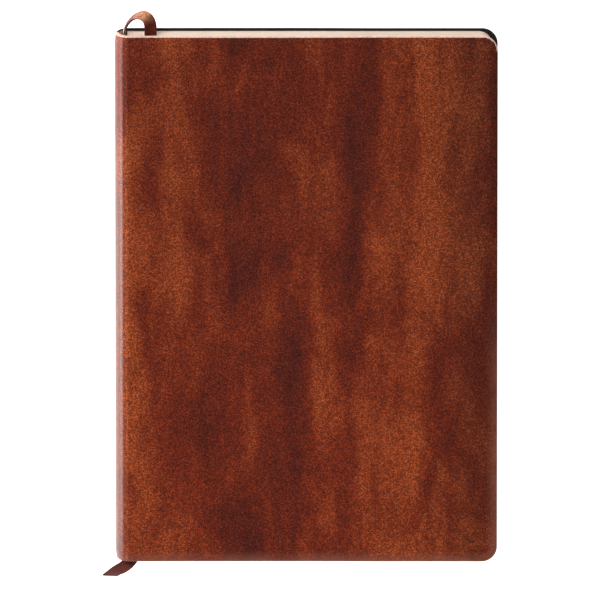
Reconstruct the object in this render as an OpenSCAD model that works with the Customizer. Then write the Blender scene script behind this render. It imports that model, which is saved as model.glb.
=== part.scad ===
// Soft leather notebook cover, closed round its sewn page block, lying on its back cover.
// Origin under the middle of the back cover. +Z is up through the front cover, +Y is
// towards the head, and the spine is on the -X side. Sizes are in millimetres.

/* [Leather cover] */
// Width of the closed cover, from the back of the spine to the fore-edge
cover_w = 148; // [120:1:180]
// Height of the cover, from foot to head
cover_h = 210; // [170:1:260]
// Thickness of the closed notebook
cover_t = 15; // [12:0.5:20]
// Thickness of the leather
leather_t = 1.5; // [1:0.1:2]
// Radius of the cover's two fore-edge corners
corner_r = 6; // [3:0.5:12]
// How far the rounded spine stands out past the two creases
spine_depth = 4; // [3.4:0.1:5]
// Gap left in the leather at each crease, so that the panels turn
crease_gap = 0.1; // [0.05:0.05:0.2]

/* [Lining] */
// Thickness of the black lining
lining_t = 0.4; // [0.2:0.05:0.6]
// Distance from the edge of the lining to the cut edge of the leather
lining_inset = 0.3; // [0.1:0.1:1]
// Thickness of the strip that stiffens the inside of the spine
strip_t = 0.7; // [0.4:0.05:0.8]
// Width of that strip, measured across the spine
strip_w = 6.4; // [4:0.2:7]

/* [Page block] */
// Distance that the cover stands past the pages at head and foot
head_square = 1; // [0.5:0.1:3]
// Distance that the cover stands past the pages at the fore-edge
fore_square = 2.3; // [1:0.1:5]
// Radius of the pages' two fore-edge corners
page_corner_r = 5; // [2:0.5:10]
// Distance from the crease to the folds of the sections
fold_inset = 0.85; // [0.8:0.05:1.5]
// Distance from the folds to the line where the first leaves turn
turn_inset = 4.2; // [3:0.1:8]
// Gap between neighbouring sections
section_gap = 0.04; // [0.02:0.01:0.1]
// Gap between the lining and the page block
block_gap = 0.15; // [0.1:0.05:0.4]

/* [Sewing] */
// Diameter of the sewing thread
thread_d = 0.5; // [0.3:0.05:0.6]
// Thickness of the gauze glued over the thread
gauze_t = 0.25; // [0.15:0.05:0.3]
// Distance from the head and foot of the pages to the ends of the gauze
gauze_inset = 3; // [1:0.5:20]
// Distance between neighbouring sewing stations
station_pitch = 38; // [25:1:40]

/* [Bookmark] */
// Width of the flat leather lace
lace_w = 4.8; // [3:0.2:5]
// Thickness of the lace
lace_t = 0.9; // [0.6:0.1:1]
// Length of the lace's end that is glued into the spine
tab_l = 30; // [15:1:60]
// Clearance round the lace in the pages that it presses down
lace_fit = 0.15; // [0.1:0.05:0.3]

/* [Hidden] */
$fn = 96;

SECTIONS = 7;
LEAF_BUNDLES = 3;
STATIONS = 5;
LEATHER = "#6b2a18";
LINING = "#17120f";
STRIP = "#5a2a1c";
PAPER = "#e6d5c1";
LACE = "#7a3a24";

// Spine: it lies between the two creases, and each of its faces is an arc.
crease_x = -cover_w / 2 + spine_depth;
spine_z = cover_t / 2;

// Page block: it fills the cover between the linings.
block_bottom = leather_t + lining_t + block_gap;
block_top = cover_t - leather_t - lining_t - block_gap;
fold_x = crease_x + fold_inset;
turn_x = fold_x + turn_inset;
page_x = cover_w / 2 - fore_square;
page_h = cover_h - 2 * head_square;
section_pitch = (block_top - block_bottom) / SECTIONS;
section_t = section_pitch - section_gap;
leaf_pitch = section_pitch / LEAF_BUNDLES;
leaf_t = leaf_pitch - section_gap;

// Bookmark: its lace lies in the top of the second section, under the first leaves.
lace_z = block_top - section_pitch - lace_fit - lace_t / 2;
bed_w = lace_w + 4 * lace_fit;
gauze_x = fold_x - thread_d - gauze_t;
tab_x = gauze_x - section_gap - lace_t / 2;

// Route of the lace. Each point is its distance from the crease, its distance from the
// head or foot of the cover, its height over lace_z, and the turn of the flat lace about
// its own line: 0 stands on edge and 90 lies flat.
LACE_HEAD = [
    [-0.3, 0, -3.4, 0], [0.2, 1.7, -3.3, 0], [1.3, 3.8, -3, 0], [3.2, 6, -2.2, 3],
    [5.3, 7.2, -1, 16], [7.3, 7.3, 0, 42], [8.9, 6.2, 0.9, 68], [9.7, 4.4, 1.2, 82],
    [9.9, 2.2, 0.9, 88], [9.9, 0.4, 0.3, 90]
];
LACE_PAGES_HEAD = [[9.9, -2, 0, 90], [9.6, -20, 0, 90]];
LACE_PAGES_FOOT = [[7.8, 60, 0, 90], [7.2, 20, 0, 90], [6.4, 12, 0, 90], [4.8, 5, 0, 90], [3, 1.4, 0, 90]];
LACE_TAIL = [[1.6, -0.9, -0.1, 88], [-0.7, -3.2, -0.9, 80], [-3.6, -5.2, -2, 70], [-6.1, -7.3, -3.1, 62]];
LACE_STEPS = 2;

function from_head(points) =
    [for (p = points) [crease_x + p[0], cover_h / 2 + p[1], lace_z + p[2], p[3]]];
function from_foot(points) =
    [for (p = points) [crease_x + p[0], -cover_h / 2 + p[1], lace_z + p[2], p[3]]];
lace_start = [tab_x, page_h / 2, lace_z + LACE_HEAD[0][2], 0];
lace_route = concat(
    [lace_start], from_head(LACE_HEAD), from_head(LACE_PAGES_HEAD),
    from_foot(LACE_PAGES_FOOT), from_foot(LACE_TAIL)
);

// A point at fraction t between b and c, on the smooth curve through a, b, c and d.
function curve_point(a, b, c, d, t) =
    b + 0.5 * t * (c - a + t * (2 * a - 5 * b + 4 * c - d + t * (3 * (b - c) + d - a)));
function smooth_route(points, steps) = concat(
    [for (i = [0:len(points) - 2], s = [0:steps - 1])
        curve_point(points[max(i - 1, 0)], points[i], points[i + 1],
                    points[min(i + 2, len(points) - 1)], s / steps)],
    [points[len(points) - 1]]
);
function place(p) = [p[0], p[1], p[2]];
function unit(v) = v / norm(v);
function heading(points, i) =
    unit(place(points[min(i + 1, len(points) - 1)]) - place(points[max(i - 1, 0)]));

// Extrudes a side profile, drawn with X across and Z up, along the height of the cover.
module along_height(length) {
    rotate([90, 0, 0]) linear_extrude(length, center = true) children();
}

// Outline of a panel or page: square at the spine, with round corners at the fore-edge.
module panel_outline(x0, x1, height, radius) {
    translate([x0, -height / 2]) square([x1 - radius - x0, height]);
    translate([x1 - radius - section_gap, -height / 2 + radius])
        square([radius + section_gap, height - 2 * radius]);
    for (side = [-1, 1]) translate([x1 - radius, side * (height / 2 - radius)]) circle(r = radius);
}

module panel(x0, x1, height, radius, z, thickness) {
    translate([0, 0, z]) linear_extrude(thickness) panel_outline(x0, x1, height, radius);
}

// Disc whose edge lies at one depth under the spine's outer face, both at the middle of the
// spine and at the creases.
module spine_disc(depth) {
    stands_out = spine_depth - depth;
    half_chord = spine_z - depth;
    radius = (stands_out * stands_out + half_chord * half_chord) / (2 * stands_out);
    translate([crease_x - stands_out + radius, spine_z]) circle(r = radius);
}

// One layer of the spine, from one depth to another, cut off at the creases.
module spine_layer(depth, thickness, width, height) {
    along_height(height) intersection() {
        difference() {
            spine_disc(depth);
            spine_disc(depth + thickness);
        }
        translate([crease_x - spine_depth - 1, spine_z - width / 2])
            square([spine_depth + 1 - crease_gap, width]);
    }
}

module back_cover() {
    color(LEATHER) panel(crease_x, cover_w / 2, cover_h, corner_r, 0, leather_t);
}

module front_cover() {
    color(LEATHER)
        panel(crease_x, cover_w / 2, cover_h, corner_r, cover_t - leather_t, leather_t);
}

module lining_panel(z) {
    color(LINING) panel(crease_x, cover_w / 2 - lining_inset, cover_h - 2 * lining_inset,
                        corner_r - lining_inset, z, lining_t);
}

module back_lining() { lining_panel(leather_t); }

module front_lining() { lining_panel(cover_t - leather_t - lining_t); }

module spine_leather() {
    color(LEATHER) spine_layer(0, leather_t, cover_t, cover_h);
}

module spine_lining() {
    color(LINING) spine_layer(leather_t, lining_t, cover_t, cover_h - 2 * lining_inset);
}

module spine_strip() {
    color(STRIP)
        spine_layer(leather_t + lining_t, strip_t, strip_w, cover_h - 2 * lining_inset);
}

// A folded section of pages: its round fold is at the spine.
module section_solid(index, x1, radius) {
    z = block_top - index * section_pitch;
    intersection() {
        panel(fold_x, x1, page_h, radius, z, section_t);
        along_height(page_h + 2) union() {
            translate([fold_x + section_t / 2, z]) square([x1 - fold_x, section_t]);
            translate([fold_x + section_t / 2, z + section_t / 2]) circle(d = section_t);
        }
    }
}

// The shallow bed that the lace presses into the pages, wider than the lace on both sides.
module lace_bed() {
    bed = concat([from_head(LACE_HEAD)[len(LACE_HEAD) - 1]], from_head(LACE_PAGES_HEAD),
                 from_foot(LACE_PAGES_FOOT), [from_foot(LACE_TAIL)[0], from_foot(LACE_TAIL)[1]]);
    last = len(bed) - 1;
    edges = [for (side = [-1, 1])
        [for (i = [0:last]) let (t = heading(bed, i))
            [bed[i][0] - side * t[1] * bed_w / 2, bed[i][1] + side * t[0] * bed_w / 2]]];
    translate([0, 0, lace_z - lace_t / 2 - lace_fit]) linear_extrude(lace_t + 2 * lace_fit + section_gap)
        polygon(concat(edges[0], [for (i = [0:last]) edges[1][last - i]]));
}

module plain_section(index) {
    color(PAPER) section_solid(index, page_x, page_corner_r);
}

module section_2() {
    color(PAPER) difference() {
        section_solid(2, page_x, page_corner_r);
        lace_bed();
    }
}

module section_3() { plain_section(3); }

module section_4() { plain_section(4); }

module section_5() { plain_section(5); }

module section_6() { plain_section(6); }

module section_7() { plain_section(7); }

// The sewn strip of the first section, which stays put when its leaves turn.
module first_section_fold() {
    color(PAPER) intersection() {
        section_solid(1, page_x, page_corner_r);
        translate([fold_x - 1, -cover_h / 2, 0])
            cube([turn_x - section_gap - fold_x + 1, cover_h, cover_t]);
    }
}

// A few leaves of the first section, which turn together about the top of its fold.
module leaves(index) {
    color(PAPER)
        panel(turn_x, page_x, page_h, page_corner_r, block_top - index * leaf_pitch, leaf_t);
}

module leaves_1() { leaves(1); }

module leaves_2() { leaves(2); }

module leaves_3() { leaves(3); }

// Thread over the folds at each sewing station, pulled tight from the first section to the last.
module sewing_thread() {
    color("ivory") for (i = [0:STATIONS - 1])
        translate([fold_x - thread_d / 2, (i - (STATIONS - 1) / 2) * station_pitch, 0])
            translate([0, 0, block_bottom + section_t / 2])
            cylinder(d = thread_d, h = block_top - block_bottom - section_t);
}

module spine_gauze() {
    color("linen") translate([gauze_x, -page_h / 2 + gauze_inset, block_bottom + section_t])
        cube([gauze_t, page_h - 2 * gauze_inset, block_top - block_bottom - 2 * section_t]);
}

module bookmark_tab() {
    color(LACE) translate([tab_x - lace_t / 2, page_h / 2 - tab_l, lace_start[2] - lace_w / 2])
        cube([lace_t, tab_l, lace_w]);
}

// One ring of the lace: a flat eight-sided section set square to the route. The first one
// lies on the flat end of the part that is glued in.
function lace_ring(points, i) =
    let (t = i == 0 ? [0, 1, 0] : heading(points, i), side = unit(cross(t, [0, 0, 1])), up = cross(side, t),
         turn = points[i][3], across = cos(turn) * up + sin(turn) * side,
         face = cross(t, across), w = lace_w / 2, h = lace_t / 2, c = lace_t / 4)
    [for (q = [[w, -h + c], [w, h - c], [w - c, h], [-w + c, h],
               [-w, h - c], [-w, -h + c], [-w + c, -h], [w - c, -h]])
        place(points[i]) + q[0] * across + q[1] * face];

module bookmark_lace() {
    route = smooth_route(lace_route, LACE_STEPS);
    rings = len(route);
    sides = 8;
    color(LACE) polyhedron(
        points = [for (i = [0:rings - 1], p = lace_ring(route, i)) p],
        faces = concat(
            [[for (k = [0:sides - 1]) k]],
            [for (i = [0:rings - 2], k = [0:sides - 1])
                [i * sides + k, (i + 1) * sides + k,
                 (i + 1) * sides + (k + 1) % sides, i * sides + (k + 1) % sides]],
            [[for (k = [0:sides - 1]) (rings - 1) * sides + sides - 1 - k]]
        )
    );
}

back_cover();
back_lining();
spine_leather();
spine_lining();
spine_strip();
front_cover();
front_lining();
first_section_fold();
leaves_1();
leaves_2();
leaves_3();
section_2();
section_3();
section_4();
section_5();
section_6();
section_7();
sewing_thread();
spine_gauze();
bookmark_tab();
bookmark_lace();
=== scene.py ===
"""A soft leather notebook cover, closed round its sewn pages, with a flat leather bookmark.

Every length is in metres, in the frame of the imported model: +Z up through the front cover,
+Y towards the head, and the spine on the -X side.
"""

from __future__ import annotations

import logging
import math
from dataclasses import dataclass, field
from enum import Enum
from typing import Any, Optional, Sequence, Union

import bpy
import numpy as np
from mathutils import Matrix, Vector


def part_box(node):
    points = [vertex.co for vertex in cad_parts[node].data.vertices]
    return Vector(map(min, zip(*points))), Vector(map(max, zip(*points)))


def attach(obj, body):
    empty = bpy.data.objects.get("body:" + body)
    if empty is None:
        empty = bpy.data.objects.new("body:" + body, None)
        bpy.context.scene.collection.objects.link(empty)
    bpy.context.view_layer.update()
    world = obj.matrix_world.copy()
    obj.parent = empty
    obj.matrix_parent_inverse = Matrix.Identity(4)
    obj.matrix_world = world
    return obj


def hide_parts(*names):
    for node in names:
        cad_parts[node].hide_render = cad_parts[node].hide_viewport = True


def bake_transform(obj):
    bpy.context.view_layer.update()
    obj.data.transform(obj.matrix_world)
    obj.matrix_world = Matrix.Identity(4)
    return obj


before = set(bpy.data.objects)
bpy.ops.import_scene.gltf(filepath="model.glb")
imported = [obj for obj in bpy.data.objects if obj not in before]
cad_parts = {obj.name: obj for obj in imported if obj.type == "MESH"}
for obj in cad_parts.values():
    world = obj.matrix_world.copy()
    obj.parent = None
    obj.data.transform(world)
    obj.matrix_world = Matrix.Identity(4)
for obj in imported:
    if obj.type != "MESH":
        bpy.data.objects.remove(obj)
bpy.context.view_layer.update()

logging.basicConfig(level=logging.INFO, format="%(message)s")
LOG = logging.getLogger("notebook")

MM = 0.001
Array = np.ndarray
Colour = tuple[float, float, float]


# ---------------------------------------------------------------- shader maths


class Signal:
    """One output socket of a material, with arithmetic that adds Math nodes."""

    def __init__(self, recipe: "Recipe", socket: Any) -> None:
        """Wrap a socket.

        Args:
            recipe: the material that the socket belongs to.
            socket: the output socket.
        """
        self.recipe = recipe
        self.socket = socket

    def _math(self, operation: str, first: "Value", second: "Value" = 0.0) -> "Signal":
        """One Math node on two values."""
        return self.recipe.node("ShaderNodeMath", {"operation": operation}, {0: first, 1: second})

    def __add__(self, other: "Value") -> "Signal":
        """Sum."""
        return self._math("ADD", self, other)

    __radd__ = __add__

    def __mul__(self, other: "Value") -> "Signal":
        """Product."""
        return self._math("MULTIPLY", self, other)

    __rmul__ = __mul__

    def __sub__(self, other: "Value") -> "Signal":
        """Difference."""
        return self._math("SUBTRACT", self, other)

    def __rsub__(self, other: "Value") -> "Signal":
        """Difference, the other way round."""
        return self._math("SUBTRACT", other, self)

    def ramp(self, low: float, high: float, out_low: "Value" = 0.0, out_high: "Value" = 1.0) -> "Signal":
        """Carry low..high smoothly to out_low..out_high, held at both ends."""
        return self.recipe.node(
            "ShaderNodeMapRange",
            {"interpolation_type": "SMOOTHSTEP"},
            {"Value": self, "From Min": low, "From Max": high, "To Min": out_low, "To Max": out_high},
        )


Value = Union[float, Signal]


class Recipe:
    """One material, or one world, under construction."""

    MIX_A, MIX_B, MIX_COLOUR_OUT = 6, 7, 2

    def __init__(self, name: str, home: Any = None) -> None:
        """Start an empty node tree.

        Args:
            name: the name of what holds the tree.
            home: the collection that makes it, or none for a material.
        """
        self.block = (bpy.data.materials if home is None else home).new(name)
        self.block.use_nodes = True
        self.tree = self.block.node_tree
        self.tree.nodes.clear()

    def node(
        self,
        kind: str,
        settings: Optional[dict[str, Any]] = None,
        inputs: Optional[dict[Union[str, int], Any]] = None,
        output: Union[str, int] = 0,
    ) -> Signal:
        """Add a node.

        Args:
            kind: the node's type.
            settings: its own settings, set first; "stops" fills a colour ramp.
            inputs: values or signals for its sockets, by name or index.
            output: the output socket to return.

        Returns:
            The chosen output.
        """
        made = self.tree.nodes.new(kind)
        for key, value in (settings or {}).items():
            if key == "stops":
                self._fill_ramp(made.color_ramp, value)
            else:
                setattr(made, key, value)
        for key, value in (inputs or {}).items():
            if isinstance(value, Signal):
                self.tree.links.new(value.socket, made.inputs[key])
            else:
                made.inputs[key].default_value = value
        return Signal(self, made.outputs[output]) if len(made.outputs) else Signal(self, made)

    @staticmethod
    def _fill_ramp(ramp: Any, stops: Sequence[tuple[float, Colour]]) -> None:
        """Put the stops into a colour ramp, in place of its own two."""
        while len(ramp.elements) > 1:
            ramp.elements.remove(ramp.elements[-1])
        for i, (place, colour) in enumerate(stops):
            element = ramp.elements[0] if i == 0 else ramp.elements.new(place)
            element.position = place
            element.color = (*colour, 1.0)

    def mix(self, a: Any, b: Any, factor: Value, blend: str = "MIX") -> Signal:
        """Mix two colours.

        Args:
            a: colour or signal at factor 0.
            b: colour or signal at factor 1.
            factor: how much of b.
            blend: the blend type.

        Returns:
            The mixed colour.
        """
        a, b = ((*c, 1.0) if isinstance(c, tuple) and len(c) == 3 else c for c in (a, b))
        return self.node(
            "ShaderNodeMix",
            {"data_type": "RGBA", "blend_type": blend},
            {0: factor, self.MIX_A: a, self.MIX_B: b},
            self.MIX_COLOUR_OUT,
        )

    def place(self, scale: Colour = (1.0, 1.0, 1.0), turn: Colour = (0.0, 0.0, 0.0)) -> Signal:
        """Object coordinates, scaled and turned."""
        here = self.node("ShaderNodeTexCoord", output="Object")
        return self.node("ShaderNodeMapping", {}, {"Vector": here, "Scale": scale, "Rotation": turn})

    def noise(self, where: Signal, scale: float, detail: float = 3.0, rough: float = 0.5,
              distortion: float = 0.0) -> Signal:
        """Noise at a scale, in features per metre of the mapped place."""
        return self.node(
            "ShaderNodeTexNoise",
            {},
            {"Vector": where, "Scale": scale, "Detail": detail, "Roughness": rough, "Distortion": distortion},
        )

    def cells(self, where: Signal, scale: float, feature: str, output: str) -> Signal:
        """Cell pattern: the distance to the nearest wall, or a colour of each cell's own."""
        inputs = {"Vector": where, "Scale": scale}
        return self.node("ShaderNodeTexVoronoi", {"feature": feature}, inputs, output)

    def part(self, vector: Signal, axis: str) -> Signal:
        """One number of a vector."""
        return self.node("ShaderNodeSeparateXYZ", {}, {0: vector}, axis)

    def attribute(self, name: str) -> Signal:
        """A number stored on the mesh's vertices."""
        return self.node("ShaderNodeAttribute", {"attribute_name": name}, output="Fac")

    def bump(self, height: Signal, distance: float, strength: float,
             under: Optional[Signal] = None) -> Signal:
        """Turn a height into a normal, over another normal if one is given."""
        inputs = {"Height": height, "Distance": distance, "Strength": strength}
        if under is not None:
            inputs["Normal"] = under
        return self.node("ShaderNodeBump", {}, inputs)

    def finish(self, **inputs: Any) -> bpy.types.Material:
        """Close the material with a Principled shader.

        Args:
            inputs: the shader's sockets, with underscores for spaces.

        Returns:
            The finished material.
        """
        named = {key.replace("_", " "): value for key, value in inputs.items()}
        shader = self.node("ShaderNodeBsdfPrincipled", {}, named)
        self.node("ShaderNodeOutputMaterial", {}, {"Surface": shader})
        return self.block


# ---------------------------------------------------------------- finishes


@dataclass(frozen=True)
class AntiqueLeather:
    """Mottled pull-up leather: burnt brown clouds over orange-brown, with a fine pebbled grain.

    The tones scale the colour as painted light and shade: lighter towards the foot, darker towards the head
    and the fore-edge, darker on the spine and lighter at its head. The places are in x or y.
    """

    name: str = "antique_leather"
    dark: Colour = (0.086, 0.0074, 0.0015)
    middle: Colour = (0.174, 0.0162, 0.0018)
    light: Colour = (0.325, 0.0490, 0.0070)
    worn_sheen: Colour = (0.300, 0.105, 0.070)
    grain_per_metre: float = 1700.0
    speck_per_metre: float = 3100.0
    # painted light and shade: the tones below lift or dim the colour where the lamps fall, at places in x or y
    head_painted_shade: float = 0.90
    foot_painted_light: float = 1.16
    half_height: float = 0.105
    fore_painted_shade: float = 0.62
    fore_from: float = 0.040
    fore_to: float = 0.068
    spine_light_and_shade: float = 0.60
    spine_head_painted_light: float = 1.45
    spine_from: float = -0.0725
    spine_to: float = -0.0690
    head_from: float = 0.02
    head_to: float = 0.10
    worn_sheen_share: float = 0.85
    spine_coat: float = 0.90
    panel_coat: float = 0.11
    head_coat: float = 0.42

    def build(self) -> bpy.types.Material:
        """Returns: the leather's material."""
        r = Recipe(self.name)
        here = r.place()
        streak = r.noise(r.place((38.0, 5.0, 38.0)), 1.0, 3.0, 0.55, 0.4)
        patch = r.noise(r.place((70.0, 30.0, 70.0)), 1.0, 3.0, 0.50, 0.5)
        fleck = r.noise(r.place((1.0, 0.7, 1.0)), 380.0, 3.0, 0.6)
        tone = streak * 0.54 + patch * 0.38 + fleck * 0.08
        colour = r.node(
            "ShaderNodeValToRGB",
            {"stops": [(0.38, self.dark), (0.495, self.middle), (0.615, self.light)]},
            {"Fac": tone},
        )
        pebble = r.cells(here, self.grain_per_metre, "DISTANCE_TO_EDGE", "Distance")
        hair = r.noise(r.place((1.0, 0.8, 1.0)), 3300.0, 1.0, 0.7)
        valley = pebble.ramp(0.0, 0.20)
        speck = r.part(r.cells(here, self.speck_per_metre, "F1", "Color"), "X")
        colour = r.mix(colour, (0.16, 0.12, 0.10), (1.0 - speck.ramp(0.05, 0.55)) * 0.66, "MULTIPLY")
        # painted glints: the grain's brightest specks are lifted towards white
        colour = r.mix(colour, (2.5, 3.9, 7.5), speck.ramp(0.60, 1.0) * 0.75, "MULTIPLY")
        colour = r.mix(colour, (0.50, 0.42, 0.38), (1.0 - valley) * 0.5, "MULTIPLY")
        x, y = r.part(here, "X"), r.part(here, "Y")
        # painted light and shade: the colour is lifted towards the foot, dimmed towards the head and the
        # fore-edge, dimmed on the spine and lifted towards the spine's head
        shade = y.ramp(-self.half_height, self.half_height, self.foot_painted_light, self.head_painted_shade)
        shade = shade * x.ramp(self.fore_from, self.fore_to, 1.0, self.fore_painted_shade)
        spine_light_and_shade = y.ramp(self.head_from, self.head_to, self.spine_light_and_shade, self.spine_head_painted_light)
        shade = shade * x.ramp(self.spine_from, self.spine_to, spine_light_and_shade, 1.0)
        colour = r.node("ShaderNodeVectorMath", {"operation": "SCALE"}, {0: colour, "Scale": shade})
        # painted sheen, partly rubbed leather: near the rim towards the foot the colour is mixed towards a
        # pale mauve
        wear = r.attribute("wear") * r.noise(here, 90.0, 3.0).ramp(0.30, 0.62, 0.45, 1.0)
        colour = r.mix(colour, self.worn_sheen, wear * self.worn_sheen_share)
        coat = x.ramp(self.spine_from, self.spine_to, self.spine_coat, self.panel_coat)
        coat = coat * y.ramp(self.head_from, self.head_to, 1.0, self.head_coat)
        soft = r.bump(r.noise(here, 160.0, 3.0, 0.5), 0.35 * MM, 0.30)
        normal = r.bump(valley * 0.5 + hair * 0.9, 0.16 * MM, 0.75, soft)
        return r.finish(
            Base_Color=colour,
            Roughness=hair.ramp(0.30, 0.75, 0.40, 0.56),
            Specular_IOR_Level=0.15,
            Coat_Weight=coat,
            Coat_Roughness=0.38,
            Normal=normal,
        )


@dataclass(frozen=True)
class CutEdge:
    """The raw, fibrous edge of cut leather."""

    name: str
    pale: Colour
    dark: Colour

    def build(self) -> bpy.types.Material:
        """Returns: the cut edge's material."""
        r = Recipe(self.name)
        fibre = r.noise(r.place((1.0, 1.0, 2.6)), 900.0, 5.0, 0.7)
        band = r.noise(r.place((0.2, 0.2, 1.0)), 2600.0, 2.0)
        colour = r.mix(self.dark, self.pale, (fibre * 0.7 + band * 0.3).ramp(0.32, 0.62))
        return r.finish(
            Base_Color=colour,
            Roughness=0.82,
            Specular_IOR_Level=0.25,
            Normal=r.bump(fibre, 0.12 * MM, 0.7),
        )


@dataclass(frozen=True)
class BlackLining:
    """Matt black bonded lining with a fine pressed weave."""

    name: str = "black_lining"
    dark: Colour = (0.0060, 0.0032, 0.0022)
    light: Colour = (0.0300, 0.0175, 0.0120)
    wave_scale: float = 120.0

    def build(self) -> bpy.types.Material:
        """Returns: the lining's material."""
        r = Recipe(self.name)
        here = r.place()
        wave = {"Vector": here, "Scale": self.wave_scale, "Distortion": 0.4}
        across, along = (r.node("ShaderNodeTexWave", {"bands_direction": way}, wave) for way in "XY")
        weave = across * along
        dust = r.noise(here, 240.0, 4.0, 0.6)
        colour = r.mix(self.dark, self.light, (weave * 0.5 + dust * 0.5).ramp(0.2, 0.75))
        return r.finish(
            Base_Color=colour,
            Roughness=dust.ramp(0.3, 0.7, 0.62, 0.82),
            Specular_IOR_Level=0.30,
            Normal=r.bump(weave, 0.05 * MM, 0.5),
        )


@dataclass(frozen=True)
class CreamPaper:
    """Cream uncoated paper; its trimmed edge shows the leaves as faint bands of painted shade."""

    name: str
    edge: bool
    shade: Colour = (0.46, 0.335, 0.262)
    body: Colour = (0.68, 0.545, 0.445)
    bright: Colour = (0.77, 0.640, 0.535)
    face_calm: float = 0.36

    def build(self) -> bpy.types.Material:
        """Returns: the paper's material."""
        r = Recipe(self.name)
        cloud = r.noise(r.place(), 60.0, 4.0, 0.6)
        calm = 0.0 if self.edge else self.face_calm
        colour = r.mix(self.body, self.bright, cloud.ramp(0.33, 0.67, calm, 1.0 - calm))
        if self.edge:
            # painted shade between the leaves: the trimmed edge darkens in faint bands
            leaves = r.noise(r.place((12.0, 12.0, 4200.0)), 1.0, 2.0, 0.6)
            colour = r.mix(colour, self.shade, (1.0 - leaves.ramp(0.30, 0.52)) * 0.65)
        fibre = r.noise(r.place(), 3200.0, 3.0, 0.7)
        return r.finish(
            Base_Color=colour,
            Roughness=0.86,
            Specular_IOR_Level=0.22,
            Normal=r.bump(fibre, 0.03 * MM, 0.35),
        )


@dataclass(frozen=True)
class LaceLeather:
    """Flat lace: dyed maroon-brown faces that turn coppery over the loop, partly pull-up lightening where the
    lace bends and partly painted highlight.
    """

    name: str = "lace_face"
    dark: Colour = (0.040, 0.0050, 0.0035)
    middle: Colour = (0.140, 0.0220, 0.0110)
    copper_and_highlight: Colour = (0.62, 0.265, 0.140)
    raw: Colour = (0.78, 0.50, 0.42)

    def build(self) -> bpy.types.Material:
        """Returns: the lace's material."""
        r = Recipe(self.name)
        here = r.place()
        cloud = r.noise(here, 260.0, 4.0, 0.6)
        grain = r.noise(here, 2200.0, 4.0, 0.68)
        colour = r.mix(self.dark, self.middle, cloud.ramp(0.32, 0.62))
        # painted highlight with pull-up lightening: over the loop the faces turn coppery where the lace bends
        lift = r.attribute("bend") * r.noise(here, 700.0, 3.0, 0.6).ramp(0.28, 0.60, 0.35, 1.0)
        colour = r.mix(colour, self.copper_and_highlight, lift)
        colour = r.mix(colour, self.raw, r.attribute("raw"))
        colour = r.mix(colour, (0.55, 0.45, 0.42), (1.0 - grain.ramp(0.34, 0.52)) * 0.5, "MULTIPLY")
        return r.finish(
            Base_Color=colour,
            Roughness=grain.ramp(0.3, 0.7, 0.42, 0.60),
            Specular_IOR_Level=0.22,
            Normal=r.bump(grain, 0.10 * MM, 0.6),
        )


@dataclass(frozen=True)
class Fibre:
    """Spun thread or gauze: pale strands with a fine lay."""

    name: str
    shade: Colour
    body: Colour

    def build(self) -> bpy.types.Material:
        """Returns: the strand's material."""
        r = Recipe(self.name)
        lay = r.noise(r.place((1.0, 1.0, 0.6)), 2800.0, 4.0, 0.7)
        return r.finish(
            Base_Color=r.mix(self.shade, self.body, lay.ramp(0.35, 0.6)),
            Roughness=0.8,
            Specular_IOR_Level=0.2,
            Normal=r.bump(lay, 0.05 * MM, 0.6),
        )


@dataclass(frozen=True)
class Finishes:
    """Every material of the notebook, made once."""

    leather: bpy.types.Material
    pale_edge: bpy.types.Material
    dark_edge: bpy.types.Material
    lining: bpy.types.Material
    paper: bpy.types.Material
    paper_edge: bpy.types.Material
    lace: bpy.types.Material
    lace_edge: bpy.types.Material
    split: bpy.types.Material
    thread: bpy.types.Material
    gauze: bpy.types.Material

    @classmethod
    def build(cls) -> "Finishes":
        """Returns: the finishes, built."""
        return cls(
            leather=AntiqueLeather().build(),
            pale_edge=CutEdge("pale_cut_edge", (0.86, 0.63, 0.51), (0.56, 0.33, 0.25)).build(),
            # the back half's near-black cut edge is painted shade; the front's is pale
            dark_edge=CutEdge("painted_shade_cut_edge", (0.030, 0.016, 0.012), (0.010, 0.006, 0.005)).build(),
            lining=BlackLining().build(),
            paper=CreamPaper("cream_paper", edge=False).build(),
            paper_edge=CreamPaper("cream_paper_edge", edge=True).build(),
            lace=LaceLeather().build(),
            lace_edge=CutEdge("lace_cut_edge", (0.060, 0.018, 0.013), (0.016, 0.006, 0.005)).build(),
            # painted light: the strip's brown is lifted so that it shows in the shaded hollow of the spine
            split=CutEdge("brown_split", (0.42, 0.135, 0.085), (0.16, 0.040, 0.025)).build(),
            thread=Fibre("linen_thread", (0.55, 0.47, 0.37), (0.80, 0.73, 0.62)).build(),
            gauze=Fibre("binders_gauze", (0.60, 0.48, 0.42), (0.84, 0.72, 0.64)).build(),
        )


# ---------------------------------------------------------------- surfaces


def unit(v: Array) -> Array:
    """Each vector of an array, over its own length."""
    return v / np.maximum(np.linalg.norm(v, axis=-1, keepdims=True), 1e-12)


def smooth(x: Array) -> Array:
    """Smooth step: 3 x squared less 2 x cubed, held to 0..1."""
    x = np.clip(x, 0.0, 1.0)
    return x * x * (3.0 - 2.0 * x)


def grid(x: Array, y: Array, z: Array) -> Array:
    """Points from three arrays that broadcast together."""
    return np.stack(np.broadcast_arrays(x, y, z), axis=-1)


def turns(count: int, offset: float = 0.0) -> Array:
    """Even angles round a circle, the first one offset by a share of the step."""
    return (np.arange(count) + offset) / count * 2 * math.pi


def oblong(sides: int, power: float = 0.30) -> tuple[Array, Array]:
    """A rounded oblong from -1 to 1: the cosine and sine of even angles, each to a power with its sign."""
    angle = turns(sides, 0.5)
    u, v = (np.sign(w) * np.abs(w) ** power for w in (np.cos(angle), np.sin(angle)))
    return u / np.abs(u).max(), v / np.abs(v).max()


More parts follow.
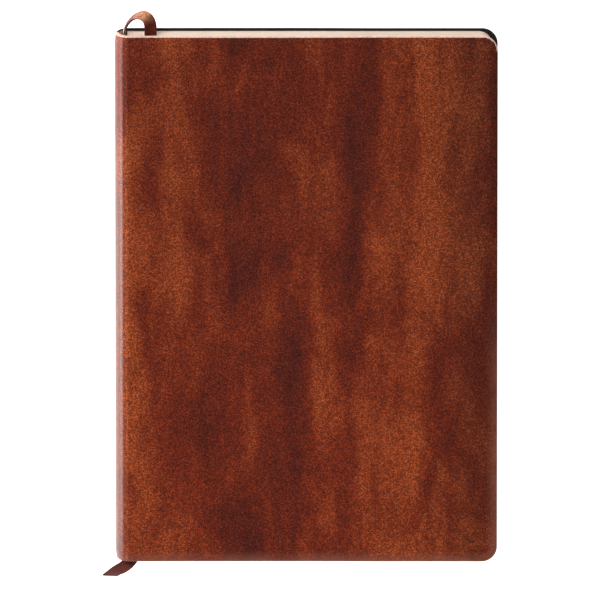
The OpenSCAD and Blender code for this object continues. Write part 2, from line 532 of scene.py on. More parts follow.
def grid_quads(rows: int, columns: int, wrap: bool = False) -> Array:
    """Quads of a grid of rows by columns vertices, as indices; wrap joins the last column to the first."""
    r = np.arange(rows - 1)[:, None]
    c = np.arange(columns if wrap else columns - 1)[None, :]
    after = (c + 1) % columns
    corners = (r * columns + c, r * columns + after, (r + 1) * columns + after, (r + 1) * columns + c)
    return np.stack(np.broadcast_arrays(*corners), axis=-1).reshape(-1, 4)


@dataclass
class Mesh:
    """Vertices, quads and each quad's material, gathered from several surfaces into one piece."""

    name: str
    materials: Sequence[bpy.types.Material]
    points: list[Array] = field(default_factory=list)
    quads: list[Array] = field(default_factory=list)
    slots: list[Array] = field(default_factory=list)
    layers: dict[str, list[Array]] = field(default_factory=dict)
    count: int = 0

    def add(self, points: Array, quads: Array, slot: Union[int, Array] = 0, **layers: Array) -> None:
        """Add a surface.

        Args:
            points: vertices, n by 3.
            quads: indices into points, m by 4.
            slot: material of every quad, or of each.
            layers: a number for each vertex, by name.
        """
        self.points.append(points.reshape(-1, 3))
        self.quads.append(quads + self.count)
        self.slots.append(np.broadcast_to(np.asarray(slot), (len(quads),)))
        for key, value in layers.items():
            self.layers.setdefault(key, []).append(np.asarray(value).reshape(-1))
        self.count += self.points[-1].shape[0]

    def add_shell(self, top: Array, bottom: Array, rim_slot: int = 1, inner_slot: int = 0, flip: bool = False,
                  top_slot: Union[int, Array] = 0, **layers: Array) -> None:
        """Close two grids of the same shape into a solid, with a wall round their rims.

        The top grid faces along (column step) x (row step). The wall runs round the grid's border.

        Args:
            top: rows by columns by 3, the outer face.
            bottom: the same, the inner face.
            rim_slot: material of the wall.
            inner_slot: material of the inner face.
            flip: turn every face over.
            top_slot: material of the outer face, or of each of its quads.
            layers: a number for each vertex of one grid; both grids get it.
        """
        rows, columns = top.shape[:2]
        face = grid_quads(rows, columns)
        size = rows * columns
        index = np.arange(size).reshape(rows, columns)
        loop = np.concatenate([index[0, :-1], index[:-1, -1], index[-1, :0:-1], index[:0:-1, 0]])
        after = np.roll(loop, -1)
        wall = np.stack([loop, loop + size, after + size, after], axis=-1)
        quads = np.concatenate([face, face[:, ::-1] + size, wall])
        slot = np.concatenate([
            np.broadcast_to(np.asarray(top_slot).reshape(-1), (len(face),)),
            np.full(len(face), inner_slot),
            np.full(len(wall), rim_slot),
        ])
        if flip:
            quads = quads[:, ::-1]
        both = {key: np.tile(np.asarray(value).reshape(-1), 2) for key, value in layers.items()}
        self.add(np.concatenate([top.reshape(-1, 3), bottom.reshape(-1, 3)]), quads, slot, **both)

    def add_tube(self, rings: Array, slot: Union[int, Array] = 0, end_slot: int = 0, **layers: Array) -> None:
        """Close a stack of rings into a tube with flat ends.

        Args:
            rings: rings by sides by 3, turning right-handed about the way they advance.
            slot: material of the side, or of each column of it.
            end_slot: material of the two ends.
            layers: a number for each ring.
        """
        count, sides = rings.shape[:2]
        side = grid_quads(count, sides, wrap=True)
        half = sides // 2
        k = np.arange(half - 1)
        first = np.stack([k, k + 1, sides - 2 - k, sides - 1 - k], axis=-1)
        start = first[:, ::-1]
        end = first + (count - 1) * sides
        side_slot = np.tile(np.broadcast_to(np.asarray(slot), (sides,)), count - 1)
        quads = np.concatenate([side, start, end])
        slots = np.concatenate([side_slot, np.full(len(start) + len(end), end_slot)])
        spread = {key: np.repeat(np.asarray(value), sides) for key, value in layers.items()}
        self.add(rings.reshape(-1, 3), quads, slots, **spread)

    def add_strand(self, line: Array, at_zero: Sequence[float], at_quarter: Sequence[float],
                   angle: Array) -> None:
        """Add a round or flattened strand along a line.

        Args:
            line: n by 3, its middle.
            at_zero: from the middle to the side at angle 0.
            at_quarter: from the middle to the side a quarter turn on.
            angle: the angles of its sides.
        """
        c, s = np.cos(angle)[:, None], np.sin(angle)[:, None]
        self.add_tube(line[:, None, :] + (c * np.array(at_zero) + s * np.array(at_quarter))[None])

    def build(self, sharp: float = 38.0) -> bpy.types.Object:
        """Make the object.

        Args:
            sharp: edges that turn by more than this many degrees stay sharp.

        Returns:
            The object, at the origin, linked to the scene.
        """
        points = np.concatenate(self.points).astype(np.float32)
        quads = np.concatenate(self.quads).astype(np.int32)
        mesh = bpy.data.meshes.new(self.name)
        mesh.vertices.add(len(points))
        mesh.vertices.foreach_set("co", points.ravel())
        mesh.loops.add(quads.size)
        mesh.loops.foreach_set("vertex_index", quads.ravel())
        mesh.polygons.add(len(quads))
        mesh.polygons.foreach_set("loop_start", np.arange(0, quads.size, 4, dtype=np.int32))
        mesh.polygons.foreach_set("material_index", np.concatenate(self.slots).astype(np.int32))
        for material in self.materials:
            mesh.materials.append(material)
        for key, parts in self.layers.items():
            layer = mesh.attributes.new(key, "FLOAT", "POINT")
            layer.data.foreach_set("value", np.concatenate(parts).astype(np.float32))
        mesh.update(calc_edges=True)
        mesh.validate()
        mesh.shade_smooth()
        mesh.set_sharp_from_angle(angle=math.radians(sharp))
        return link(self.name, mesh)


def link(name: str, data: Any) -> bpy.types.Object:
    """Make an object of a mesh, light or camera, and link it to the scene."""
    made = bpy.data.objects.new(name, data)
    bpy.context.scene.collection.objects.link(made)
    return made


def dress(piece: bpy.types.Object, nodes: Sequence[str],
          body: Optional[str] = None) -> bpy.types.Object:
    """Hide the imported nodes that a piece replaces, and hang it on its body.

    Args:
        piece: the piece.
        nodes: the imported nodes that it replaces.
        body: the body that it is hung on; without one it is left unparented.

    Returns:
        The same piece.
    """
    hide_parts(*nodes)
    if body:
        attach(piece, body)
    return piece


def edge_stations(half: float, radius: float, middle: int, corner: int) -> Array:
    """Places from -half to half: even in the middle, and by the sine of an even angle in the corners."""
    bend = half - radius + radius * np.sin(np.linspace(0.0, math.pi / 2, corner + 1))[1:]
    return np.concatenate([-bend[::-1], np.linspace(-(half - radius), half - radius, middle), bend])


def corner_setback(y: Array, half: float, radius: float) -> Array:
    """How far a round-cornered fore-edge draws back at y: radius less the circle's half chord there."""
    over = np.clip(np.abs(y) - (half - radius), 0.0, radius)
    return radius - np.sqrt(np.maximum(radius * radius - over * over, 0.0))


# ---------------------------------------------------------------- cover


class Side(Enum):
    """The two halves of the wrap, by the way that their outer face looks."""

    FRONT = 1
    BACK = -1


@dataclass
class CoverShape:
    """The outer face of the closed cover: two flat panels and a half-oval spine."""

    fore_x: float
    crease_x: float
    back_x: float
    half_height: float
    thick: float
    corner_radius: float
    spine_blend: float = 1.5 * MM
    roll_width: float = 5.0 * MM
    roll_drop: float = 0.42 * MM
    rim_radius: float = 0.50 * MM
    pared_share: float = 0.8
    groove_depth: float = 0.16 * MM
    groove_width: float = 0.55 * MM
    swells: tuple = ((0.16, 1 / 0.118, 1 / 0.41, 0.13), (0.10, -1 / 0.33, 1 / 0.152, 0.31),
                     (0.05, 1 / 0.047, 1 / 0.083, 0.0))
    swell_fade: float = 0.03

    @classmethod
    def from_frame(cls) -> "CoverShape":
        """Returns: the shape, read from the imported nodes."""
        low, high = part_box("front_cover")
        spine_low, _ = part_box("spine_leather")
        return cls(high[0], low[0], spine_low[0], high[1], high[2], 6.0 * MM)

    @property
    def centre_x(self) -> float:
        """Where the spine's oval meets the flat panels."""
        return self.crease_x + self.spine_blend

    @property
    def depth(self) -> float:
        """The oval's half width in x."""
        return self.centre_x - self.back_x

    @property
    def rise(self) -> float:
        """The oval's half height in z, and the height of its middle."""
        return self.thick / 2

    def oval(self, turn: Array) -> tuple[Array, Array, Array, Array]:
        """The oval at an angle up from its outermost line.

        Args:
            turn: the angle t.

        Returns:
            x = centre - depth cos t, z = rise + rise sin t, and the outward normal in x and z.
        """
        x = self.centre_x - self.depth * np.cos(turn)
        z = self.rise + self.rise * np.sin(turn)
        nx, nz = -np.cos(turn) * self.rise, np.sin(turn) * self.depth
        size = np.hypot(nx, nz)
        return x, z, nx / size, nz / size

    def columns(self) -> tuple[Array, Array]:
        """Places across the wrap, as the oval's angle and the share of the panel.

        Returns:
            angle from the middle of the spine, 0 to a quarter turn, and share from the oval to the fore-edge.
        """
        turn = (np.linspace(0.0, 1.0, 27) ** 1.35) * (math.pi / 2)
        shares = np.linspace(0.0, 1.0, 128)[1:-5]
        rest = 1.0 - shares[-1]
        shares = np.concatenate([shares, shares[-1] + rest * np.sin(np.linspace(0, math.pi / 2, 13))[1:]])
        return (
            np.concatenate([turn, np.full(len(shares), math.pi / 2)]),
            np.concatenate([np.zeros(len(turn)), shares]),
        )

    def waves(self, x: Array, y: Array) -> Array:
        """Slow swell of a soft cover: a few long sine waves, faded out at the spine."""
        swell = sum(height * np.sin(2 * math.pi * (x * a + y * b + c)) for height, a, b, c in self.swells)
        return swell * MM * smooth((x - self.crease_x) / self.swell_fade)

    def layer(self, side: Side, depth: float, thickness: float, inset: float, roll: bool
              ) -> tuple[Array, Array, Array]:
        """One layer of the wrap as two grids.

        The outer face is the oval up to a quarter turn, then the flat panel. The layer lies depth under it,
        along the normal. Near its rim it sinks by the square of the distance left, and then by a small quarter
        circle.

        Args:
            side: which half of the wrap.
            depth: distance under the outer face.
            thickness: thickness of the layer.
            inset: distance of its rim from the leather's.
            roll: whether the rim rolls over.

        Returns:
            the outer grid, the inner grid and the distance from each of their points to the rim.
        """
        half = self.half_height - inset
        radius = self.corner_radius - inset
        y = edge_stations(half, radius, 196, 11)[:, None]
        turn, share = (a[None, :] for a in self.columns())
        reach = self.fore_x - inset - corner_setback(y, half, radius)
        x, z, nx, nz = self.oval(turn)
        x = x + share * (reach - self.centre_x)
        normal, base = grid(nx, 0.0 * y, nz), grid(x, y, z)
        dx, dy = self.fore_x - inset - x, half - np.abs(y) + 0.0 * x
        in_corner = (dx < radius) & (dy < radius)
        gap = np.where(in_corner, radius - np.hypot(radius - dx, radius - dy), np.minimum(dx, dy))
        gap = np.maximum(gap, 0.0)
        lift = self.waves(x, y)
        drop = np.zeros_like(gap)
        if roll:
            rim = np.clip(self.rim_radius - gap, 0.0, self.rim_radius)
            drop = self.roll_drop * np.clip(1.0 - gap / self.roll_width, 0.0, 1.0) ** 2
            drop += self.rim_radius - np.sqrt(self.rim_radius ** 2 - rim ** 2)
            drop += self.groove_depth * np.exp(-(((x - self.crease_x) / self.groove_width) ** 2))
        top = base + normal * (lift - depth - drop)[..., None]
        under = base + normal * (lift - depth - thickness)[..., None]
        if side is Side.BACK:
            for face in (top, under):
                face[..., 2] = self.thick - face[..., 2]
        return top, under, gap


@dataclass
class Cover:
    """The leather wrap and its black lining, each as two halves that meet down the middle of the spine."""

    shape: CoverShape
    finishes: Finishes
    # where the painted sheen along the foot rim starts and fades out
    worn_sheen_below: float = 0.020
    worn_sheen_fade: float = 0.080
    bend_before: float = 0.3 * MM
    bend_after: float = 3.2 * MM
    strip_thick: float = 0.65 * MM
    strip_gap: float = 0.02 * MM
    strip_thinning: float = 0.45

    def _declare(self, piece: bpy.types.Object, side: Side) -> bpy.types.Object:
        """Args:
            piece: the half.
            side: which half.

        Returns:
            The same piece.
        """
        shape, front = self.shape, side is Side.FRONT
        shape.crease_x - self.bend_before
        shape.crease_x + self.bend_after
        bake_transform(piece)
        return piece

    def leather(self, side: Side) -> bpy.types.Object:
        """Build one half of the leather.

        Args:
            side: which half.

        Returns:
            The piece.
        """
        low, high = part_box("front_cover")
        thickness = high[2] - low[2]
        top, under, gap = self.shape.layer(side, 0.0, thickness, 0.0, roll=True)
        # painted sheen, partly rubbed leather: a mask along the rim, only towards the foot
        footward = smooth((self.worn_sheen_below - top[..., 1]) / self.worn_sheen_fade)
        wear = np.clip(1.0 - gap / self.shape.roll_width, 0.0, 1.0) ** 1.5 * footward
        nearest = (gap[1:, 1:] + gap[:-1, 1:] + gap[1:, :-1] + gap[:-1, :-1]) / 4
        at_head = top[1:, 1:, 1] > self.shape.half_height - self.shape.corner_radius
        pared = ((nearest < self.shape.rim_radius * self.shape.pared_share) & at_head).astype(int)
        # painted shade: the back half's cut edge is near-black where the front's is pale
        edge = self.finishes.pale_edge if side is Side.FRONT else self.finishes.dark_edge
        mesh = Mesh(f"leather_{side.name.lower()}", [self.finishes.leather, edge])
        mesh.add_shell(top, under, inner_slot=1, flip=side is Side.BACK, top_slot=pared, wear=wear)
        nodes = ["front_cover", "spine_leather"] if side is Side.FRONT else ["back_cover"]
        return self._declare(dress(mesh.build(), nodes), side)

    def lining(self, side: Side) -> bpy.types.Object:
        """Build one half of the lining.

        Args:
            side: which half.

        Returns:
            The piece.
        """
        leather_low, leather_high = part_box("front_cover")
        low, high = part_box("front_lining")
        inset = leather_high[0] - high[0]
        depth = leather_high[2] - leather_low[2]
        top, under, _ = self.shape.layer(side, depth, high[2] - low[2], inset, roll=False)
        mesh = Mesh(f"lining_{side.name.lower()}", [self.finishes.lining])
        mesh.add_shell(top, under, rim_slot=0, flip=side is Side.BACK)
        nodes = ["front_lining", "spine_lining"] if side is Side.FRONT else ["back_lining"]
        return self._declare(dress(mesh.build(), nodes), side)

    def strip(self) -> bpy.types.Object:
        """Build the strip that stiffens the inside of the spine, on the oval under the lining.

        Returns:
            The piece.
        """
        low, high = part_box("spine_strip")
        lining_low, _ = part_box("front_lining")
        depth = self.shape.thick - lining_low[2]
        reach = math.asin((high[2] - low[2]) / 2 / (self.shape.rise - depth))
        turn = np.linspace(-reach, reach, 25)[None, :]
        y = np.linspace(low[1], high[1], 60)[:, None]
        x, z, nx, nz = self.shape.oval(turn)
        base, normal = grid(x, y, z), grid(nx, 0.0 * y, nz)
        thickness = self.strip_thick * (1.0 - self.strip_thinning * (np.abs(turn) / reach) ** 6)
        mesh = Mesh("spine_stiffener", [self.finishes.split])
        outer, inner = depth + self.strip_gap, (depth + thickness)[..., None]
        mesh.add_shell(base - normal * outer, base - normal * inner, rim_slot=0)
        return dress(mesh.build(), ["spine_strip"], "spine")

    def build(self) -> list[bpy.types.Object]:
        """Returns: every piece of the cover."""
        halves = [make(side) for side in Side for make in (self.leather, self.lining)]
        return halves + [self.strip()]


# ---------------------------------------------------------------- bookmark


@dataclass
class Bookmark:
    """The flat leather lace: glued in the spine, looped over the head, laid in the pages, with a free tail.

    Each point of the route is its distance from the crease, its distance from the head or foot of the cover,
    its height over the bed in the pages, and the turn of the lace about its own line, in degrees.
    """

    finishes: Finishes
    width: float = 4.8 * MM
    thickness: float = 0.9 * MM
    declared_length: float = 0.245
    head: tuple = (
        (-0.3, 0, -3.4, 0), (0.2, 1.7, -3.3, 0), (1.3, 3.8, -3, 0), (3.2, 6, -2.2, 3), (5.3, 7.2, -1, 16),
        (7.3, 7.3, 0, 42), (8.9, 6.2, 0.9, 68), (9.7, 4.4, 1.2, 82), (9.9, 2.2, 0.9, 88), (9.9, 0.4, 0.3, 90),
    )
    pages_head: tuple = ((9.9, -2, 0, 90), (9.6, -20, 0, 90))
    pages_foot: tuple = (
        (7.8, 60, 0, 90), (7.2, 20, 0, 90), (6.4, 12, 0, 90), (4.8, 5, 0, 90), (3, 1.4, 0, 90),
    )
    tail: tuple = (
        (1.6, -0.9, -0.1, 88), (-0.7, -3.2, -0.9, 80), (-3.6, -5.2, -2, 70), (-6.1, -7.3, -3.1, 62),
    )
    end_slant: float = 1.9 * MM
    slant_run: float = 5.0 * MM
    raw_run: float = 1.6 * MM
    # where the loop's coppery stretch begins and ends: painted highlight with pull-up lightening
    copper_highlight_rise: tuple = (7.0 * MM, 3.5 * MM)
    copper_highlight_fall: tuple = (13.5 * MM, 4.5 * MM)
    least_bend: float = 90.0
    bend_range: float = 130.0
    sides: int = 20

    def __post_init__(self) -> None:
        """Read the places that the route is measured from."""
        cover_low, cover_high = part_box("front_cover")
        tab_low, tab_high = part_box("bookmark_tab")
        self.crease_x, self.half_height = cover_low[0], cover_high[1]
        middle = (np.array(tab_low) + np.array(tab_high)) / 2
        self.start = np.array([middle[0], tab_high[1], middle[2], 0.0])
        self.bed_z = self.start[2] - self.head[0][2] * MM

    def route(self) -> Array:
        """The route's own points, and the lace's turn at each.

        Returns:
            n by 4: x, y and z in metres, and degrees.
        """
        parts = [self.start[None]]
        for points, sign in ((self.head, 1), (self.pages_head, 1), (self.pages_foot, -1), (self.tail, -1)):
            p = np.array(points, float)
            place = p[:, :3] * MM + np.array([self.crease_x, sign * self.half_height, self.bed_z])
            parts.append(np.column_stack([place, p[:, 3]]))
        return np.concatenate(parts)

    @staticmethod
    def smooth_route(points: Array, steps: int) -> Array:
        """A Catmull-Rom curve through the points, with steps to each of its stretches."""
        padded = np.concatenate([points[:1], points, points[-1:]])
        a, b, c, d = (padded[i:len(padded) - 3 + i][:, None, :] for i in range(4))
        t = (np.arange(steps) / steps)[None, :, None]
        curve = b + 0.5 * t * (c - a + t * (2 * a - 5 * b + 4 * c - d + t * (3 * (b - c) + d - a)))
        return np.concatenate([curve.reshape(-1, points.shape[1]), points[-1:]])

    def rings(self, curve: Array) -> tuple[Array, Array]:
        """Flat rounded oblongs set square to the curve, their faces drawn in a little towards the edges.

        Args:
            curve: n by 4, the smoothed route.

        Returns:
            rings by sides by 3, and how strongly the lace is bent at each ring.
        """
        place = curve[:, :3]
        along = unit(np.gradient(place, axis=0))
        along[0] = (0.0, 1.0, 0.0)
        side = unit(np.cross(along, np.array([0.0, 0.0, 1.0])))
        up = np.cross(side, along)
        turn = np.radians(curve[:, 3:4])
        across = np.cos(turn) * up + np.sin(turn) * side
        face = np.cross(along, across)
        u, v = oblong(self.sides)
        ripple = 1.0 + 0.02 * np.sin(place[:, 1] / 0.011) + 0.012 * np.sin(place[:, 1] / 0.0037 + 1.0)
        thin = 1.0 - 0.06 * np.abs(u) ** 4
        rings = (
            place[:, None, :]
            + across[:, None, :] * (u * self.width / 2)[None, :, None] * ripple[:, None, None]
            + face[:, None, :] * (v * thin * self.thickness / 2)[None, :, None]
        )
        step = np.linalg.norm(np.diff(place, axis=0), axis=1)
        left = np.append(np.cumsum(step[::-1])[::-1], 0.0)
        slant = self.end_slant * np.clip(1.0 - left / self.slant_run, 0.0, 1.0)
        rings = rings + along[:, None, :] * (u[None, :] * slant[:, None])[..., None]
        change = np.linalg.norm(np.gradient(along, axis=0), axis=1)
        bend = change / np.maximum(np.append(step, step[-1]), 1e-6)
        return rings, smooth((bend - self.least_bend) / self.bend_range)

    def lace(self) -> bpy.types.Object:
        """Returns:
            The piece.
        """
        curve = self.smooth_route(self.route(), 8)
        rings, bend = self.rings(curve)
        run = np.concatenate([[0.0], np.cumsum(np.linalg.norm(np.diff(curve[:, :3], axis=0), axis=1))])
        # the loop's coppery stretch: painted highlight with pull-up lightening at the bend
        ends = (self.copper_highlight_rise, self.copper_highlight_fall)
        rise, fall = (smooth((run - place) / length) for place, length in ends)
        loop = rise * (1.0 - fall)
        edge = (np.abs(np.cos(turns(self.sides, 1.0))) > 0.96).astype(int)
        mesh = Mesh("bookmark_lace_leather", [self.finishes.lace, self.finishes.lace_edge])
        raw = 1.0 - smooth((run - self.raw_run) / self.raw_run)
        mesh.add_tube(rings, slot=edge, end_slot=1, bend=np.maximum(bend * 0.6, loop) * loop, raw=raw)
        piece = dress(mesh.build(), ["bookmark_lace"], "back")
        LOG.info("lace is %.1f mm long on its route", run[-1] / MM)
        return piece

    def tab(self) -> bpy.types.Object:
        """Build the end of the lace that is glued into the spine.

        Returns:
            The piece.
        """
        low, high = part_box("bookmark_tab")
        centre, half = (np.array(low) + np.array(high)) / 2, (np.array(high) - np.array(low)) / 2
        y = np.linspace(low[1], high[1], 50)
        u, v = oblong(self.sides)
        rings = grid(centre[0] + v * half[0], y[:, None], centre[2] + u * half[2])
        mesh = Mesh("bookmark_glued_end", [self.finishes.lace, self.finishes.lace_edge])
        mesh.add_tube(rings[:, ::-1], slot=0, end_slot=1, bend=np.zeros(len(y)), raw=np.ones(len(y)))
        return dress(mesh.build(), ["bookmark_tab"], "back")

    def build(self) -> list[bpy.types.Object]:
        """Returns: every piece of the bookmark."""
        return [self.lace(), self.tab()]


# ---------------------------------------------------------------- pages


@dataclass
class PageBlock:
    """Sewn sections of folded sheets, the first one's loose leaves, the thread and the gauze."""

    finishes: Finishes
    bookmark: Bookmark
    corner_radius: float = 5.0 * MM
    sheets_in_section: int = 5
    leaves_in_bundle: int = 3
    trim_play: float = 0.07 * MM
    paper_share: float = 0.80
    nesting: float = 0.9
    press_share: float = 0.80
    press_margin: float = 0.4 * MM
    press_fade: float = 2.6 * MM
    leaf_start: float = 0.15 * MM
    bend_before: float = 2.4 * MM
    bend_after: float = 3.4 * MM
    stations: int = 5
    thread_lay: float = 1.3 * MM
    strand: float = 0.16 * MM
    strand_step: float = 0.8 * MM
    seed: int = 11

    def __post_init__(self) -> None:
        """Seed the small differences between sheets."""
        self.random = np.random.default_rng(self.seed)

    def _pressed(self, x: Array, y: Array) -> Array:
        """How strongly the pages are pressed at a place: 1 under the lace, 0 beyond its sides."""
        curve = self.bookmark.smooth_route(self.bookmark.route(), 4)
        path = curve[np.argsort(curve[:, 1])]
        path = path[np.abs(path[:, 1]) < self.bookmark.half_height + 1.5 * MM]
        centre = np.interp(y, path[:, 1], path[:, 0])
        half = self.bookmark.width / 2 + self.press_margin
        return 1.0 - smooth((np.abs(x - centre) - half) / self.press_fade)

    def _rows(self, half: float) -> Array:
        """Rows of a page from foot to head, as a column, cut a hair high or low."""
        rows = edge_stations(half, self.corner_radius, 9, 8)[:, None]
        return rows + self.random.normal(0.0, self.trim_play * 0.3)

    def _folds(self, node: str) -> tuple[Array, Array, float, float]:
        """Measure a section's nested folds.

        Args:
            node: the section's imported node.

        Returns:
            each fold's outermost place and radius, the height of their middle, and the sheets' pitch.
        """
        low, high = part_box(node)
        tall = high[2] - low[2]
        pitch = tall / (2 * self.sheets_in_section)
        i = np.arange(self.sheets_in_section)
        return low[0] + i * pitch * self.nesting, tall / 2 - (i + 0.5) * pitch, (low[2] + high[2]) / 2, pitch

    def _paper(self, name: str) -> Mesh:
        """An empty mesh with paper on its faces and trimmed paper on its rims."""
        return Mesh(name, [self.finishes.paper, self.finishes.paper_edge])

    def section(self, number: int) -> bpy.types.Object:
        """Build one folded section as nested sheets; the lace presses the second section.

        A sheet's profile runs back along the top, round a half circle at the fold, and out along the bottom.
        Its outer and inner faces are that profile, moved half a thickness each way along its normal.

        Args:
            number: the section's number, 2 to 7.

        Returns:
            The piece.
        """
        node = f"section_{number}"
        low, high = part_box(node)
        places, radii, middle_z, pitch = self._folds(node)
        columns = 60 if number == 2 else 5
        leaf = np.linspace(1.0, 0.0, columns)
        turn = np.linspace(math.pi / 2, 1.5 * math.pi, 9)[1:-1]
        share = np.concatenate([leaf, 0.0 * turn, leaf[::-1]])
        angle = np.concatenate([np.full(columns, math.pi / 2), turn, np.full(columns, 1.5 * math.pi)])
        nx, nz = np.cos(angle), np.sin(angle)
        thickness = pitch * self.paper_share
        mesh = self._paper(f"{node}_sheets")
        for place, radius in zip(places, radii):
            y = self._rows(high[1])
            bend_x = place + radius + thickness / 2
            reach = high[0] - corner_setback(y, high[1], self.corner_radius)
            play = self.random.normal(0.0, self.trim_play, 2)
            x = bend_x + radius * nx + share * (reach - bend_x + np.where(angle < math.pi, *play))
            faces = []
            for out in (thickness / 2, -thickness / 2):
                gx, gz = x + out * nx, middle_z + (radius + out) * nz
                if number == 2:
                    gz = low[2] + (gz - low[2]) * (1.0 - self.press_share * self._pressed(gx, y))
                faces.append(grid(gx, y, gz))
            mesh.add_shell(*faces, rim_slot=1, flip=True)
        return dress(mesh.build(30.0), [node], "back")

    def first_fold(self) -> bpy.types.Object:
        """Build the fold of the first section, short of the leaves that turn.

        Returns:
            The piece.
        """
        node = "first_section_fold"
        low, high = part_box(node)
        places, radii, middle_z, pitch = self._folds(node)
        turn = np.linspace(math.pi / 2, 1.5 * math.pi, 11)
        y = np.linspace(low[1], high[1], 20)[:, None]
        mesh = self._paper("first_section_folds")
        for place, radius in zip(places, radii):
            bend_x = place + radius + pitch / 2
            faces = [
                grid(bend_x + r * np.cos(turn), y, middle_z + r * np.sin(turn))
                for r in (radius + pitch * self.paper_share / 2, radius - pitch * self.paper_share / 2)
            ]
            mesh.add_shell(*faces, rim_slot=1, flip=True)
        return dress(mesh.build(30.0), [node], "back")

    def leaves(self, number: int, body: str) -> bpy.types.Object:
        """Build one bundle of the first section's leaves, flat from the fold to the fore-edge.

        Args:
            number: the bundle's number, 1 at the top.
            body: not used.

        Returns:
            The piece.
        """
        low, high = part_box(f"leaves_{number}")
        fold_low, fold_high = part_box("first_section_fold")
        start_x = fold_low[0] + (fold_high[2] - fold_low[2]) / 2 + self.leaf_start
        pitch = (high[2] - low[2]) / self.leaves_in_bundle
        close = 2.6 * (low[0] - start_x) / (high[0] - start_x)
        share = np.concatenate([np.linspace(0.0, close, 22)[:-1], np.linspace(close, 1.0, 26)])
        mesh = self._paper(f"leaves_{number}_sheets")
        for i in range(self.leaves_in_bundle):
            y = self._rows(high[1])
            reach = high[0] - corner_setback(y, high[1], self.corner_radius)
            x = start_x + share * (reach + self.random.normal(0.0, self.trim_play) - start_x)
            z, half = low[2] + (i + 0.5) * pitch, pitch * self.paper_share / 2
            mesh.add_shell(grid(x, y, z + half), grid(x, y, z - half), rim_slot=1)
        piece = dress(mesh.build(30.0), [f"leaves_{number}"])
        low[0] - self.bend_before
        low[0] + self.bend_after
        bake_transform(piece)
        return piece

    def thread(self) -> bpy.types.Object:
        """Build the sewing thread: at each station two plies wound round each other over the folds.

        Returns:
            The piece.
        """
        low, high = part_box("sewing_thread")
        across = high[0] - low[0]
        ply = across / 4
        z = np.linspace(low[2], high[2], 60)
        mesh = Mesh("linen_sewing", [self.finishes.thread])
        for y in np.linspace(low[1] + across / 2, high[1] - across / 2, self.stations):
            for phase in (0.0, math.pi):
                wind = z / self.thread_lay * 2 * math.pi + phase
                line = grid((low[0] + high[0]) / 2 + ply * np.cos(wind), y + ply * np.sin(wind), z)
                mesh.add_strand(line, (ply, 0.0, 0.0), (0.0, ply, 0.0), turns(8))
        return dress(mesh.build(60.0), ["sewing_thread"], "back")

    def gauze(self) -> bpy.types.Object:
        """Build the gauze as crossing strands that weave over and under by a sine.

        Returns:
            The piece.
        """
        low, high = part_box("spine_gauze")
        middle = (low[0] + high[0]) / 2
        swing, strand, step = (high[0] - low[0]) / 4, self.strand, self.strand_step
        mesh = Mesh("binders_gauze_strip", [self.finishes.gauze])
        angle, flat = turns(6, 0.5), (swing * 0.8, 0.0, 0.0)
        warps = np.arange(low[2] + strand, high[2] - strand / 2, step)
        wefts = np.arange(low[1] + strand, high[1] - strand / 2, step * 1.5)
        y = np.linspace(low[1], high[1], len(wefts) * 2)
        for i, z in enumerate(warps):
            x = middle + swing * np.cos(math.pi * ((y - wefts[0]) / (wefts[1] - wefts[0]) + i))
            mesh.add_strand(grid(x, y, z), (0.0, 0.0, strand), flat, angle)
        z = np.linspace(low[2], high[2], len(warps) * 2)
        for i, y in enumerate(wefts):
            x = middle - swing * np.cos(math.pi * ((z - warps[0]) / step + i))
            mesh.add_strand(grid(x, y, z), flat, (0.0, strand, 0.0), angle)
        return dress(mesh.build(60.0), ["spine_gauze"], "back")

    def build(self) -> list[bpy.types.Object]:
        """Returns: every piece of the page block."""
        made = [self.section(number) for number in range(2, 8)] + [self.first_fold()]
        bodies = ("first_leaves", "second_leaves", "third_leaves")
        made += [self.leaves(number, body) for number, body in enumerate(bodies, 1)]
        return made + [self.thread(), self.gauze()]


# ---------------------------------------------------------------- studio


@dataclass(frozen=True)
class Lamp:
    """A square soft light that looks at the notebook, with its place, side in metres and power in watts."""

    name: str
    place: tuple[float, float, float]
    size: float
    power: float

    def build(self) -> bpy.types.Object:
        """Returns: the light."""
        data = bpy.data.lights.new(self.name, "AREA")
        data.shape = "SQUARE"
        data.size = self.size
        data.energy = self.power
        made = link(self.name, data)
        made.location = self.place
        made.rotation_euler = (-Vector(self.place)).to_track_quat("-Z", "Y").to_euler()
        return made


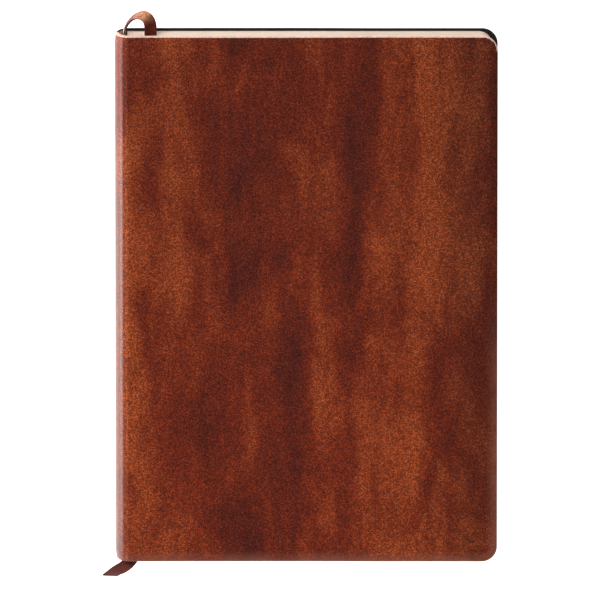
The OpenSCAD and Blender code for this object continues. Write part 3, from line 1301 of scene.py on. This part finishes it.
@dataclass
class Studio:
    """A pale floor, soft lights from the spine side and the foot, and a long lens over the head."""

    aim: Vector = field(default_factory=lambda: Vector((-0.0024, 0.0, 0.015)))
    tilt: float = 14.5
    distance: float = 10.0
    view_width: float = 0.2322
    sensor: float = 36.0
    surround: float = 0.08
    floor_glow: float = 1.1
    floor_radii: tuple = (0.001, 0.4, 1.5, 6.0)
    floor_z: float = -0.05 * MM
    lamps: tuple = (
        Lamp("head_side", (-0.7, 1.1, 1.5), 0.8, 28.0),
        Lamp("spine_side", (-1.6, -0.1, 0.28), 0.6, 24.0),
        Lamp("foot_side", (0.1, -1.6, 0.5), 0.8, 10.0),
    )

    def camera(self) -> bpy.types.Object:
        """Returns: the scene's camera."""
        data = bpy.data.cameras.new("camera")
        data.sensor_width = self.sensor
        data.lens = self.sensor * self.distance / self.view_width
        data.clip_end = 50.0
        made = link("camera", data)
        angle = math.radians(self.tilt)
        made.location = self.aim + self.distance * Vector((0.0, math.sin(angle), math.cos(angle)))
        made.rotation_euler = (-angle, 0.0, 0.0)
        bpy.context.scene.camera = made
        return made

    def floor(self) -> bpy.types.Object:
        """Returns: a wide round sheet just under the notebook, matt white, with a little glow."""
        r = Recipe("pale_floor")
        white = (1.0, 1.0, 1.0, 1.0)
        finish = r.finish(
            Base_Color=(0.92, 0.92, 0.92, 1.0), Roughness=0.9, Specular_IOR_Level=0.1,
            Emission_Color=white, Emission_Strength=self.floor_glow,
        )
        mesh = Mesh("floor", [finish])
        around = turns(96)
        radii = np.array(self.floor_radii)[:, None]
        points = grid(radii * np.cos(around), radii * np.sin(around), np.array(self.floor_z))
        mesh.add(points, grid_quads(len(radii), len(around), wrap=True)[:, ::-1])
        made = mesh.build()
        return made

    def world(self) -> None:
        """Set an even surround: dim as a light, and white where the camera looks past the floor."""
        r = Recipe("surround", bpy.data.worlds)
        white = (1.0, 1.0, 1.0, 1.0)
        dim, bright = (
            r.node("ShaderNodeBackground", {}, {"Color": white, "Strength": strength})
            for strength in (self.surround, 1.0)
        )
        seen = r.node("ShaderNodeLightPath", output="Is Camera Ray")
        mixed = r.node("ShaderNodeMixShader", {}, {0: seen, 1: dim, 2: bright})
        r.node("ShaderNodeOutputWorld", {}, {"Surface": mixed})
        bpy.context.scene.world = r.block
        bpy.context.scene.view_settings.view_transform = "Standard"

    def build(self) -> list[bpy.types.Object]:
        """Returns: the camera, floor and lights, built with the surround."""
        camera = self.camera()
        self.world()
        return [camera, self.floor(), *(lamp.build() for lamp in self.lamps)]


def main() -> None:
    """Build the notebook, the camera and cord first."""
    made = Studio().build()
    finishes = Finishes.build()
    bookmark = Bookmark(finishes)
    for assembly in (bookmark, Cover(CoverShape.from_frame(), finishes), PageBlock(finishes, bookmark)):
        made += assembly.build()
    for piece in made:
        LOG.info("built %s", piece.name)


if __name__ == "__main__":
    main()
